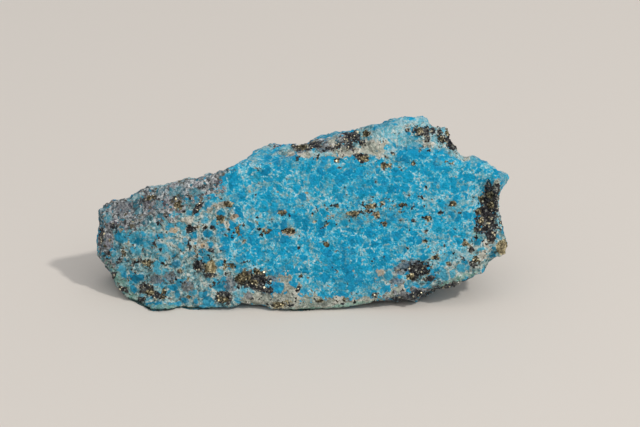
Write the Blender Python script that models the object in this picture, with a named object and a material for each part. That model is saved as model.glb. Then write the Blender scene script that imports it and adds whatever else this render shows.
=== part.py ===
"""Rough lapis lazuli: one broken chunk of granular rock, standing on its long lower edge.

The chunk is a slab with one broad, nearly flat face, which leans back a little. Its outline is
drawn square to that face and pushed back as a block. Fracture planes then break the block
down, each named for the side that it makes. The broken block gets an even skin, its edges are
worn round, its surfaces are roughened, and pockets and lumps are pressed in. Pyrite crystals
are fused on, and the underside is trimmed at the ground, which leaves the pads it rests on.

X runs along the chunk, +Y away from the broad face, +Z up. The origin is the middle of the
bounding box, at the ground. Lengths are in millimetres until the mesh is made, in metres.
"""

import math
import random

import bmesh
import bpy
from mathutils import Matrix, Vector, noise
from mathutils.bvhtree import BVHTree

# Driving dimensions.
MM = 0.001
LENGTH = 52.0                      # the outline below is drawn to it
FACE_LEAN = math.radians(12)       # the broad face leans back from the vertical
FACE_OUT = Vector((0, -math.cos(FACE_LEAN), math.sin(FACE_LEAN)))
BACK_OUT = Vector((0, 1, 0))
UNDER_OUT = Vector((0, 0, -1))
BLOCK_FALL = math.radians(25)      # the block behind the outline falls away at this slope
BLOCK_DEPTH = 40.0
BLOCK_PUSH = BLOCK_DEPTH * Vector((0, math.cos(BLOCK_FALL), -math.sin(BLOCK_FALL)))
TRIANGLES = 7000                   # in the rock, before its crystals are fused on

# Surface. The broad face is the smooth one, and every other side is a rough break.
VOXEL = 0.36
WEAR_PASSES = 3
FINISH_PASSES = 1
WORN_OFF = 0.28
FACE_ROUGHNESS = 0.16
BREAK_ROUGHNESS = 0.62
LUMP_SIZE = 4.6
KNOB_SIZE = 1.9
LEDGE_SIZE = 6.5
LEDGE_LEVELS = 5
LEDGE_HEIGHT = 1.5
TREAD = 0.7                        # the level share of each step
FACE_BLEND = (0.80, 0.96)          # how squarely a side has to look out to be the broad face
SIDE_BLEND = 0.35
PRESSED_RIM = 1.5                  # how steep the rims of pockets and lumps are

# The outline, square to the broad face: along the chunk, and up the face, from its lower left.
OUTLINE = [
    (-18.6, -0.8), (-20.3, -0.3), (-22.1, 0.9), (-22.8, 2.2), (-23.5, 3.1), (-24.0, 4.2),
    (-24.7, 5.3), (-25.8, 6.9), (-26.3, 8.3), (-26.3, 10.2), (-26.1, 12.9), (-25.9, 15.1),
    (-23.6, 14.6), (-22.8, 14.8), (-21.7, 15.0), (-20.2, 15.9), (-19.2, 15.9), (-18.1, 16.3),
    (-17.0, 16.4), (-15.8, 17.0), (-13.9, 17.2), (-11.7, 17.8), (-10.6, 17.9), (-9.3, 18.3),
    (-7.3, 19.5), (-6.4, 20.9), (-4.7, 21.5), (-4.0, 22.0), (-2.7, 22.2), (-1.4, 21.8),
    (0.0, 21.8), (1.6, 22.8), (3.8, 23.3), (6.0, 23.6), (7.6, 24.3), (9.8, 24.5),
    (11.5, 24.9), (13.3, 25.1), (15.3, 25.2), (16.2, 24.5), (18.0, 24.2), (18.9, 23.4),
    (18.7, 22.4), (19.5, 21.4), (20.2, 20.4), (22.3, 20.3), (23.7, 19.7), (24.7, 18.8),
    (25.7, 18.2), (25.5, 17.1), (24.8, 15.3), (24.8, 13.3), (25.0, 12.0), (25.0, 10.7),
    (25.0, 9.8), (25.0, 8.3), (24.1, 7.5), (23.8, 6.7), (23.0, 5.1), (21.6, 3.9),
    (19.6, 3.4), (16.8, 2.9), (15.2, 1.6), (13.6, 1.2), (10.4, 1.1), (7.3, 0.8),
    (4.1, 0.1), (1.5, -0.5), (-1.6, -0.5), (-3.6, 0.9), (-5.4, 1.4), (-7.9, 1.3),
    (-9.3, 0.7), (-10.6, -0.5),
]

# Fracture planes: a point on each, and the way that it faces. Only what lies behind it stays.
FRACTURES = {
    "grey shoulder": ((-17.0, 2.7, 12.7), (-0.45, -0.50, 0.74)),
    "shoulder top": ((-17.0, 7.5, 16.4), (-0.22, 0.02, 0.97)),
    "left face": ((-14.0, 2.0, 8.0), (-0.26, -0.94, 0.20)),
    "left cheek": ((-23.0, 3.2, 8.0), (-0.74, -0.66, 0.12)),
    "left toe": ((-23.4, 2.0, 0.5), (-0.62, -0.42, -0.66)),
    "upper bevel": ((8.0, 4.2, 19.8), (0.04, -0.76, 0.65)),
    "upper left bevel": ((-3.5, 4.4, 20.8), (-0.30, -0.62, 0.72)),
    "lower bevel": ((15.5, 0.8, 3.1), (0.26, -0.62, -0.74)),
    "right cheek": ((24.6, 3.0, 14.0), (0.75, -0.66, 0.0)),
    "right overhang": ((13.3, 6.0, -0.1), (0.48, 0.10, -0.87)),
    "back": ((-2.0, 17.5, 0.0), (0.05, 0.95, 0.28)),
    "right back": ((17.0, 14.0, 5.0), (0.55, 0.83, 0.05)),
    "left back": ((-17.5, 15.5, 5.0), (-0.56, 0.81, 0.16)),
    "heel": ((0.0, 16.5, 2.0), (0.0, 0.66, -0.75)),
    "ground side": ((0.0, 8.0, 0.1), (0.0, 0.0, -1.0)),
}

# Pockets and lumps on the broad face: place on it, half width, half height, turn in degrees
# and how far they stand out. A negative height is a pocket.
FACE_PRESSED = {
    "black pocket": ((23.2, 13.9), 1.3, 3.4, 8, -1.7),
    "pocket lip": ((24.9, 16.6), 1.0, 1.3, 20, 0.3),
    "nodule socket": ((-13.0, 5.6), 2.0, 1.7, 0, -0.55),
    "ore hollow": ((-6.3, 3.9), 2.6, 1.5, 10, -0.6),
    "lower ore hollow": ((14.0, 5.3), 2.4, 1.3, 15, -0.6),
    "upper ore hollow": ((6.9, 22.4), 1.9, 1.1, -15, -0.7),
    "ledge hollow": ((0.4, 21.2), 2.2, 0.8, 5, -0.5),
    "bevel hollow": ((8.4, 20.4), 2.2, 0.9, -20, -0.45),
    "calcite swell": ((-1.0, 1.6), 3.6, 1.3, 0, 0.45),
    "upper calcite swell": ((10.3, 22.0), 2.0, 1.4, 30, 0.4),
    "left blue knob": ((-23.2, 9.4), 1.1, 1.1, 0, 0.35),
    "inner blue knob": ((-20.8, 9.8), 1.4, 1.1, -20, 0.4),
    "lower blue knob": ((-21.2, 4.3), 1.1, 0.8, -35, 0.4),
    "toe blue knob": ((-18.6, 0.4), 2.8, 1.9, 0, 2.0),
    "middle dip": ((2.0, 10.0), 7.0, 3.2, 10, -0.35),
    "right swell": ((16.5, 13.0), 5.0, 4.5, 0, 0.35),
    "left dip": ((-13.5, 11.5), 4.5, 2.6, 35, -0.45),
    "crest scoop": ((3.5, 20.4), 2.4, 1.0, 0, -0.45),
    "crest bump": ((12.2, 20.4), 2.2, 1.0, 0, 0.45),
    "notch scoop": ((20.6, 20.4), 1.3, 1.0, 0, -0.6),
    "left crest bump": ((-5.0, 19.6), 1.8, 1.2, 20, 0.35),
}

# The same on the back, where a place is the distance along the chunk and above the ground.
BACK_PRESSED = {
    "back scoop": ((-9.0, 8.5), 5.5, 3.6, 20, -1.2),
    "back ridge": ((6.0, 9.5), 7.0, 1.7, -28, 0.9),
    "back pit": ((15.5, 8.5), 1.9, 1.4, 0, -0.8),
    "back knob": ((-17.5, 5.5), 2.2, 1.8, 0, 0.7),
    "back foot": ((2.0, 3.0), 4.5, 1.5, 0, 0.6),
}

# The same on the underside, where a place is the distance along the chunk and behind its face.
# These stand below the ground until the underside is trimmed, which leaves them as flat pads.
UNDER_PRESSED = {
    "toe pad": ((-18.6, 0.6), 2.6, 2.0, 0, 1.3),
    "belly pad": ((-0.5, 1.2), 3.6, 2.2, 0, 0.8),
    "left heel pad": ((-14.0, 12.5), 3.5, 2.5, 0, 0.7),
    "right heel pad": ((8.0, 13.0), 4.0, 2.5, 0, 0.7),
}

# Clusters of pyrite crystals that stand out of the rock: middle of the cluster on the broad
# face, how far its crystals reach from there, how many there are, and their half size.
CLUSTERS = {
    "gold lump": ((24.6, 9.0), 0.55, 4, 0.62),
    "pocket lip grains": ((24.2, 10.4), 0.6, 3, 0.42),
    "nodule": ((-12.3, 5.7), 0.55, 5, 0.62),
    "top knob": ((17.8, 23.3), 0.75, 5, 0.62),
    "lower top knob": ((19.2, 21.6), 0.55, 3, 0.50),
    "crest grains": ((14.6, 23.6), 0.7, 4, 0.48),
    "hollow grains": ((-6.4, 4.0), 1.5, 7, 0.45),
    "toe grains": ((-10.0, 1.7), 0.8, 4, 0.42),
    "pocket grains": ((23.1, 13.6), 1.3, 6, 0.40),
    "lower hollow grains": ((13.9, 4.9), 0.9, 4, 0.40),
}
CRYSTAL_SUNK = 0.45                # how deep a crystal's middle lies, as a share of its half size
CRYSTAL_SPREAD = (0.7, 1.15)       # their sizes, as shares of the half size
CRYSTAL_SEED = 5
CORNER_CUT = 0.55
CUT_CORNERS_OVER = 0.45            # smaller crystals stay plain cubes
GOLDEN_ANGLE = math.radians(137.5)


def on_face(along, up, behind=0.0):
    """The place of a point that is measured on the broad face, square to it."""
    return Vector((
        along,
        up * math.sin(FACE_LEAN) + behind * math.cos(FACE_LEAN),
        up * math.cos(FACE_LEAN) - behind * math.sin(FACE_LEAN),
    ))


def clear_scene():
    for old in list(bpy.data.objects):
        bpy.data.objects.remove(old)


def add_object(name, mesh, material=None):
    piece = bpy.data.objects.new(name, mesh)
    bpy.context.scene.collection.objects.link(piece)
    if material:
        mesh.materials.append(material)
    return piece


def make_material(name, colour, roughness, metallic):
    material = bpy.data.materials.new(name)
    material.use_nodes = True
    shader = material.node_tree.nodes["Principled BSDF"]
    shader.inputs["Base Color"].default_value = (*colour, 1.0)
    shader.inputs["Roughness"].default_value = roughness
    shader.inputs["Metallic"].default_value = metallic
    return material


def grown(outline, reach):
    """The outline moved outwards, square to its own run, by the reach that wear takes off."""
    moved = []
    for i, (along, up) in enumerate(outline):
        before, after = outline[i - 1], outline[(i + 1) % len(outline)]
        run = Vector((after[0] - before[0], after[1] - before[1])).normalized()
        moved.append((along - run.y * reach, up + run.x * reach))
    return moved


def add_prism(shape, outline, push):
    """A closed block: the outline, as points, and the same outline pushed back."""
    front = [shape.verts.new(point) for point in outline]
    back = [shape.verts.new(point + push) for point in outline]
    shape.faces.new(front)
    shape.faces.new(reversed(back))
    count = len(outline)
    for i in range(count):
        j = (i + 1) % count
        shape.faces.new((front[j], front[i], back[i], back[j]))


def break_off(shape, point, facing):
    """Cuts the block along a plane, drops what is in front of it, and closes the cut."""
    everything = shape.verts[:] + shape.edges[:] + shape.faces[:]
    cut = bmesh.ops.bisect_plane(
        shape, geom=everything, plane_co=point, plane_no=Vector(facing).normalized(), clear_outer=True,
    )
    edges = [item for item in cut["geom_cut"] if isinstance(item, bmesh.types.BMEdge)]
    bmesh.ops.edgenet_fill(shape, edges=edges)


def broken_block():
    """The block with all its fracture planes, as a mesh in millimetres."""
    shape = bmesh.new()
    add_prism(shape, [on_face(*point) for point in grown(OUTLINE, WORN_OFF)], BLOCK_PUSH)
    bmesh.ops.recalc_face_normals(shape, faces=shape.faces[:])
    for point, facing in FRACTURES.values():
        break_off(shape, point, facing)
    bmesh.ops.triangulate(shape, faces=shape.faces[:])
    bmesh.ops.recalc_face_normals(shape, faces=shape.faces[:])
    mesh = bpy.data.meshes.new("block")
    shape.to_mesh(mesh)
    shape.free()
    return mesh


def even_skin(solid, passes):
    """The solid's outer skin as even quads, with its sharp edges worn round in that many passes."""
    guide = add_object("guide", solid)
    remesh = guide.modifiers.new("even quads", "REMESH")
    remesh.mode = "VOXEL"
    remesh.voxel_size = VOXEL
    wear = guide.modifiers.new("worn edges", "SMOOTH")
    wear.factor = 0.5
    wear.iterations = passes
    mesh = bpy.data.meshes.new_from_object(guide.evaluated_get(bpy.context.evaluated_depsgraph_get()))
    bpy.data.objects.remove(guide)
    return mesh


def eased(share):
    """0 below 0, 1 above 1, and smooth between."""
    share = min(max(share, 0.0), 1.0)
    return share * share * (3 - 2 * share)


def flatness(normal):
    """1 on the broad face, 0 on the broken sides, smooth between."""
    start, end = FACE_BLEND
    return eased((normal.dot(FACE_OUT) - start) / (end - start))


def chipped(place, size):
    """Lumps with crisp creases between them, from 0 in a crease to about 1 on a lump."""
    near, following = noise.voronoi(place / size)[0][:2]
    return min((following - near) * 1.4, 1.0)


def ledges(place):
    """Level treads with short steep risers between them, from about -1 to 1."""
    rise = LEDGE_LEVELS * noise.noise(place / LEDGE_SIZE)
    tread = math.floor(rise)
    return (tread + eased((rise - tread - TREAD) / (1 - TREAD))) / LEDGE_LEVELS


def roughness_at(place, normal):
    """How far the surface stands out at a place, in millimetres."""
    flat = flatness(normal)
    height = FACE_ROUGHNESS + (BREAK_ROUGHNESS - FACE_ROUGHNESS) * (1 - flat)
    wave = noise.fractal(place / LUMP_SIZE, 0.9, 2.1, 4)
    lumps = chipped(place + Vector((3, 7, 1)), LUMP_SIZE) - 0.5
    knobs = chipped(place, KNOB_SIZE) - 0.5
    broken = 0.55 * lumps * height + ledges(place) * LEDGE_HEIGHT
    return height * (0.7 * wave + 0.45 * knobs) + broken * (1 - flat)


def pressed_by(features, along, up):
    """How far the named pockets and lumps of one side stand out at a place on it."""
    height_here = 0.0
    for (along_0, up_0), half_width, half_height, turn, height in features.values():
        angle = math.radians(turn)
        dx = along - along_0
        dz = up - up_0
        wide = (dx * math.cos(angle) + dz * math.sin(angle)) / half_width
        tall = (dz * math.cos(angle) - dx * math.sin(angle)) / half_height
        away = wide * wide + tall * tall
        height_here += height * math.exp(-PRESSED_RIM * away * away)
    return height_here


def pressed_at(place, normal):
    """The move that the named pockets and lumps make: each side's, square to that side."""
    up_face = place.y * math.sin(FACE_LEAN) + place.z * math.cos(FACE_LEAN)
    move = Vector()
    for outward, features, up in (
        (FACE_OUT, FACE_PRESSED, up_face),
        (BACK_OUT, BACK_PRESSED, place.z),
        (UNDER_OUT, UNDER_PRESSED, place.y),
    ):
        share = eased(normal.dot(outward) / SIDE_BLEND)
        if share > 0:
            move += outward * (share * pressed_by(features, place.x, up))
    return move


def roughen(mesh):
    """Moves each point: along its normal by the roughness, then by the pockets and lumps."""
    shape = bmesh.new()
    shape.from_mesh(mesh)
    shape.normal_update()
    moves = [
        vert.normal * roughness_at(vert.co, vert.normal) + pressed_at(vert.co, vert.normal)
        for vert in shape.verts
    ]
    for vert, move in zip(shape.verts, moves):
        vert.co += move
    shape.to_mesh(mesh)
    shape.free()


def crystal_mesh(half_size, spin):
    """A pyrite crystal: a cube, with its corners cut if it is a large one, turned its own way."""
    shape = bmesh.new()
    bmesh.ops.create_cube(shape, size=2 * half_size)
    if half_size > CUT_CORNERS_OVER * MM:
        bmesh.ops.bevel(
            shape, geom=shape.verts[:], offset=CORNER_CUT * half_size, segments=1, affect="VERTICES",
        )
    turn = Matrix.Rotation(spin * 2.4, 4, "Z") @ Matrix.Rotation(spin * 1.7, 4, "X")
    shape.transform(turn)
    bmesh.ops.triangulate(shape, faces=shape.faces[:])
    mesh = bpy.data.meshes.new("crystal")
    shape.to_mesh(mesh)
    shape.free()
    return mesh


def crystal_places():
    """Each crystal's cluster, place on the broad face and half size, in a sunflower spiral."""
    chance = random.Random(CRYSTAL_SEED)
    for name, ((along, up), reach, count, half_size) in CLUSTERS.items():
        for i in range(count):
            away = reach * math.sqrt(i / count)
            angle = i * GOLDEN_ANGLE
            place = (along + away * math.cos(angle), up + away * math.sin(angle))
            yield name, place, half_size * chance.uniform(*CRYSTAL_SPREAD)


def make_crystals(rock):
    """The crystals, half sunk in the rock, as hidden helpers that a Boolean fuses to it."""
    group = bpy.data.collections.new("crystals")
    bpy.context.scene.collection.children.link(group)
    surface = BVHTree.FromPolygons(
        [vert.co for vert in rock.vertices], [face.vertices[:] for face in rock.polygons]
    )
    inward = BLOCK_PUSH.normalized()
    for i, (name, place, half_size) in enumerate(crystal_places()):
        start = on_face(*place)
        touched = surface.ray_cast((start - BLOCK_PUSH) * MM, inward)[0]
        if touched is None:
            touched = surface.find_nearest(start * MM)[0]
        helper = bpy.data.objects.new(f"{name} {i}", crystal_mesh(half_size * MM, i))
        helper.location = touched + inward * (CRYSTAL_SUNK * half_size * MM)
        helper.hide_render = True
        helper.display_type = "WIRE"
        group.objects.link(helper)
    return group


def make_ground_cutter():
    """A hidden block below the ground, which trims the underside flat."""
    shape = bmesh.new()
    size = 2 * LENGTH * MM
    bmesh.ops.create_cube(shape, size=size, matrix=Matrix.Translation((0, 0, -size / 2)))
    mesh = bpy.data.meshes.new("ground")
    shape.to_mesh(mesh)
    shape.free()
    cutter = add_object("ground_cutter", mesh)
    cutter.hide_render = True
    cutter.display_type = "WIRE"
    return cutter


def made_plain(piece):
    """The piece with its modifiers applied, and with the middle of its foot at the origin."""
    mesh = bpy.data.meshes.new_from_object(piece.evaluated_get(bpy.context.evaluated_depsgraph_get()))
    across = [vert.co.x for vert in mesh.vertices]
    behind = [vert.co.y for vert in mesh.vertices]
    move = -Vector((min(across) + max(across), min(behind) + max(behind), 0)) / 2
    mesh.transform(Matrix.Translation(move))
    print(f"{piece.name}: {len(mesh.polygons)} faces, moved by {move.x / MM:.3f}, {move.y / MM:.3f} mm")
    piece.modifiers.clear()
    piece.data = mesh
    for helper in [other for other in bpy.data.objects if other != piece]:
        bpy.data.objects.remove(helper)


def make_stone():
    """The whole chunk: rock, fused crystals and trimmed underside, as one closed body."""
    mesh = even_skin(broken_block(), WEAR_PASSES)
    roughen(mesh)
    mesh = even_skin(mesh, FINISH_PASSES)
    mesh.transform(Matrix.Scale(MM, 4))
    rock = make_material("lapis_rock", (0.05, 0.36, 0.56), 0.6, 0.0)
    stone = add_object("rough_lapis_lazuli", mesh, rock)
    thin = stone.modifiers.new("fewer triangles", "DECIMATE")
    thin.ratio = TRIANGLES / (2 * len(mesh.polygons))
    fuse = stone.modifiers.new("fused crystals", "BOOLEAN")
    fuse.operation = "UNION"
    fuse.operand_type = "COLLECTION"
    fuse.collection = make_crystals(mesh)
    trim = stone.modifiers.new("flat underside", "BOOLEAN")
    trim.operation = "DIFFERENCE"
    trim.object = make_ground_cutter()
    made_plain(stone)


def main():
    clear_scene()
    make_stone()


main()
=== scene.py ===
# %% [markdown]
# # A rough chunk of lapis lazuli
#
# This lesson gives a plain faceted rock the looks of a real mineral specimen. The rock's form and
# size are fixed: they come from a solid model, which is loaded first and never changed. What is
# added here is what the eye sees from close by: grains, veins, pits, crystals, colours and gloss.

import math

import bmesh
import bpy
import numpy as np
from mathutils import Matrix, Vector


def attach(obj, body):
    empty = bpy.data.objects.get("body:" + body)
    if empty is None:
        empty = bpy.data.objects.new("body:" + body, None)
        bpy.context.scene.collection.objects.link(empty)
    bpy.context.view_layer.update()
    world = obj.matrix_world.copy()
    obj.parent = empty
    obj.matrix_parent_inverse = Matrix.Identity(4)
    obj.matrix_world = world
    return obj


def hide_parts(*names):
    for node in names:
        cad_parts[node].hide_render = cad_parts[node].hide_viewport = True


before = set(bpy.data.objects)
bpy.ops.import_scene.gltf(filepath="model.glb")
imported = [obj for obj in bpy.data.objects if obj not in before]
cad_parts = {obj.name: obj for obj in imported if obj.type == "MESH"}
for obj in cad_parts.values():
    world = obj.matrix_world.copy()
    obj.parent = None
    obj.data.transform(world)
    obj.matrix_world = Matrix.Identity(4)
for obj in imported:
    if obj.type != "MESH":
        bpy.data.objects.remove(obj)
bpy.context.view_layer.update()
NODE = "rough_lapis_lazuli"
MM = 0.001

# %% [markdown]
# ## Where things are on the chunk
#
# The chunk has one broad face that leans back a little. A place on it is given by two distances
# in millimetres: along the chunk, and up the face. Everything that the viewer sees from the front
# is placed by these two, because a line of sight carries the place on to whatever lies behind the
# face, such as the sloping top. That is how a projector would lay a slide on the rock.

# %% The broad face and the line of sight
FACE_LEAN = math.radians(12)
FACE_FOOT = Vector((0.156, -8.666, 0.0)) * MM
FACE_UP = Vector((0, math.sin(FACE_LEAN), math.cos(FACE_LEAN)))
FACE_OUT = Vector((0, -math.cos(FACE_LEAN), math.sin(FACE_LEAN)))
SIGHT_FALL = math.radians(25)
SIGHT = Vector((0, math.cos(SIGHT_FALL), -math.sin(SIGHT_FALL)))


def on_face(along, up):
    """The point at a place on the broad face, in metres."""
    return FACE_FOOT + (Vector((along, 0, 0)) + up * FACE_UP) * MM


print("the middle of the face is at", on_face(0, 12))

# %% [markdown]
# ## Camera
#
# A small specimen is usually shot with a long lens from well back, so that it shows with little
# perspective. The camera stands about a third of a metre away and looks down at 25 degrees. Its
# focal length follows from how much of the rock one picture width should take in.

# %% Camera
SIGHT_DISTANCE = 330 * MM
PICTURE_WIDTH = 80.97 * MM         # what the picture spans at the rock
SENSOR = 36.0
AIM = on_face(2.2, 12.85)

camera = bpy.data.objects.new("camera", bpy.data.cameras.new("camera"))
camera.data.sensor_width = SENSOR
camera.data.lens = SENSOR * SIGHT_DISTANCE / PICTURE_WIDTH
camera.data.clip_start = 0.01
camera.location = AIM - SIGHT * SIGHT_DISTANCE
camera.rotation_euler = SIGHT.to_track_quat("-Z", "Y").to_euler()
bpy.context.scene.collection.objects.link(camera)
bpy.context.scene.camera = camera
print("lens, mm:", round(camera.data.lens, 1))

# %% [markdown]
# ## Light and floor
#
# Rock looks best in soft light with one side a little stronger: flat light hides the grain, and
# hard light makes it noisy. A pale sky lights everything. A small lamp high on the right gives the
# crystals their glints and throws a shadow to the left, and a wide panel overhead keeps that shadow
# pale. The floor is a plain sheet.

# %% Light
LAMPS = {                          # place and size in metres, power in watts, colour
    "key": ((0.53, -0.44, 0.80), 0.07, 4.6, (1.0, 0.97, 0.93)),
    "ceiling": ((0.1, -0.6, 1.0), 1.3, 4.2, (1.0, 0.985, 0.965)),
}
SKY_COLOUR = (0.95, 0.97, 1.0)
SKY_STRENGTH = 0.46


def add_lamp(name, place, size, power, colour):
    """A square area light that looks at the rock."""
    light = bpy.data.lights.new(name, "AREA")
    light.size = size
    light.energy = power
    light.color = colour
    lamp = bpy.data.objects.new(name, light)
    lamp.location = place
    lamp.rotation_euler = (-Vector(place)).to_track_quat("-Z", "Y").to_euler()
    bpy.context.scene.collection.objects.link(lamp)


for lamp_name, values in LAMPS.items():
    add_lamp(lamp_name, *values)
world = bpy.data.worlds.new("pale sky")
world.use_nodes = True
sky = world.node_tree.nodes["Background"]
sky.inputs["Color"].default_value = (*SKY_COLOUR, 1.0)
sky.inputs["Strength"].default_value = SKY_STRENGTH
bpy.context.scene.world = world
bpy.context.scene.view_settings.view_transform = "Standard"
print("lamps:", list(LAMPS))

# %% Floor
FLOOR_HALF = 6.0

floor_mesh = bpy.data.meshes.new("floor")
floor_corners = [(-1, -1, 0), (1, -1, 0), (1, 1, 0), (-1, 1, 0)]
floor_corners = [Vector(corner) * FLOOR_HALF for corner in floor_corners]
floor_mesh.from_pydata(floor_corners, [], [(0, 1, 2, 3)])
floor = bpy.data.objects.new("floor", floor_mesh)
bpy.context.scene.collection.objects.link(floor)
print("floor, m:", 2 * FLOOR_HALF)

# %% [markdown]
# ## A short way to write node trees
#
# A procedural material is a formula drawn as boxes and wires. Writing each box by hand takes many
# lines, so this helper adds one node per call and hands its output on. It works in a material's
# tree and in a Geometry Nodes tree alike, because both know the same texture and math nodes. So
# one function can later grow the same grains in both, and relief and colour agree.


# %% The helper that writes node trees
class Wiring:
    """Writes a node tree as formulas. Lengths are in millimetres."""

    def __init__(self, tree):
        self.tree = tree

    def node(self, kind, inputs, **settings):
        """Adds a node. Inputs go by name or by number, as a value or as another node's output."""
        added = self.tree.nodes.new(kind)
        for name, value in settings.items():
            setattr(added, name, value)
        self.feed(added, inputs)
        return added

    def feed(self, node, inputs):
        """Sets a node's inputs: a value as it is, and another node's output with a link."""
        for key, value in inputs.items():
            if isinstance(value, bpy.types.NodeSocket):
                self.tree.links.new(value, node.inputs[key])
            else:
                node.inputs[key].default_value = value

    def math(self, operation, *values):
        return self.node("ShaderNodeMath", dict(enumerate(values)), operation=operation).outputs[0]

    def chain(self, operation, values):
        """Joins the first two values, then the result with the third, and so on."""
        result = values[0]
        for value in values[1:]:
            result = self.math(operation, result, value)
        return result

    def times(self, *values):
        return self.chain("MULTIPLY", values)

    def most(self, *values):
        return self.chain("MAXIMUM", values)

    def add(self, *parts):
        """Adds up numbers. A part is a value, or a group of values to multiply first."""
        values = [self.times(*part) if isinstance(part, tuple) else part for part in parts]
        return self.chain("ADD", values)

    def mixed(self, fields, recipe):
        """Adds up named fields. A recipe gives the base, and how much of each field goes on it."""
        shares = [(fields[name], share) for name, share in recipe.items() if name != "base"]
        return self.add(recipe["base"], *shares)

    def rest(self, share):
        """What a share leaves of the whole."""
        return self.math("SUBTRACT", 1.0, share)

    def around_zero(self, value):
        """Takes a half away, so that the value shakes both up and down."""
        return self.math("SUBTRACT", value, 0.5)

    def step(self, value, window):
        """0 before the window, 1 past it, and smooth between. It may run downwards."""
        inputs = {"Value": value, "From Min": window[0], "From Max": window[1]}
        added = self.node("ShaderNodeMapRange", inputs, interpolation_type="SMOOTHSTEP")
        return added.outputs["Result"]

    def vector(self, operation, first, second):
        """Joins two vectors. A product with one number is the operation SCALE."""
        inputs = {0: first, "Scale": second} if operation == "SCALE" else {0: first, 1: second}
        added = self.node("ShaderNodeVectorMath", inputs, operation=operation)
        return added.outputs["Value" if operation == "DOT_PRODUCT" else "Vector"]

    def split(self, vector):
        return self.node("ShaderNodeSeparateXYZ", {0: vector}).outputs

    def noise(self, place, size, detail=2.0, output="Fac"):
        inputs = {"Vector": place, "Scale": 1 / size, "Detail": detail}
        return self.node("ShaderNodeTexNoise", inputs).outputs[output]

    def cells(self, place, size, **settings):
        return self.node("ShaderNodeTexVoronoi", {"Vector": place, "Scale": 1 / size}, **settings)

    def between(self, share, first, second):
        """The first number where the share is 0, the second where it is 1."""
        return self.node("ShaderNodeMix", {0: share, 2: first, 3: second}).outputs[0]

    def blend(self, share, first, second):
        """The first colour where the share is 0, the second where it is 1."""
        inputs = {0: share, 6: first, 7: second}
        return self.node("ShaderNodeMix", inputs, data_type="RGBA").outputs[2]

    def ramp(self, value, stops):
        """A colour from a row of stops. Each stop is a place from 0 to 1 and its colour."""
        added = self.node("ShaderNodeValToRGB", {0: value})
        row = added.color_ramp.elements
        while len(row) < len(stops):
            row.new(0.5)
        for element, (place, colour) in zip(row, stops):
            element.position = place
            element.color = colour
        return added.outputs["Color"]

    def to_shader(self, finish):
        self.feed(self.tree.nodes["Principled BSDF"], finish)


# %% [markdown]
# ## The grains
#
# Granular rock is a mass of crystals that grew until they met. Voronoi cells are just that: each
# seed takes the space nearest to it. Bending the space with noise first makes their edges wander.
# Each grain gets three chances of its own, for its colour and kind, and one flat facet turned its
# own way, which gives the glint of a broken crystal.

# %% The grains
GRAINS = {"grain": 1.15, "splinter": 0.62, "crumb": 0.34}      # how large each kind is, in mm
BENDS = {"grain": 0.90, "splinter": 0.45, "crumb": 0.20}       # how far its edges wander
WANDER = 0.8                                                   # the bends' size, in grains
MIDDLE = (0.5, 0.5, 0.5)


def grains(wiring, place, kind):
    """How deep a place is in its grain, its reach from the middle, its facet and its chances."""
    size = GRAINS[kind]
    wander = wiring.vector("SUBTRACT", wiring.noise(place, size * WANDER, output="Color"), MIDDLE)
    bent = wiring.vector("ADD", place, wiring.vector("SCALE", wander, BENDS[kind]))
    seeds = wiring.cells(bent, size)
    edges = wiring.cells(bent, size, feature="DISTANCE_TO_EDGE")
    tilt = wiring.vector("SUBTRACT", seeds.outputs["Color"], MIDDLE)
    from_seed = wiring.vector("SUBTRACT", bent, seeds.outputs["Position"])
    chances = wiring.split(seeds.outputs["Color"])
    return {
        "depth": edges.outputs["Distance"],
        "reach": seeds.outputs["Distance"],
        "facet": wiring.vector("DOT_PRODUCT", from_seed, tilt),
        "chance 0": chances[0],
        "chance 1": chances[1],
        "chance 2": chances[2],
    }


print("grain sizes, mm:", GRAINS)
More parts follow.
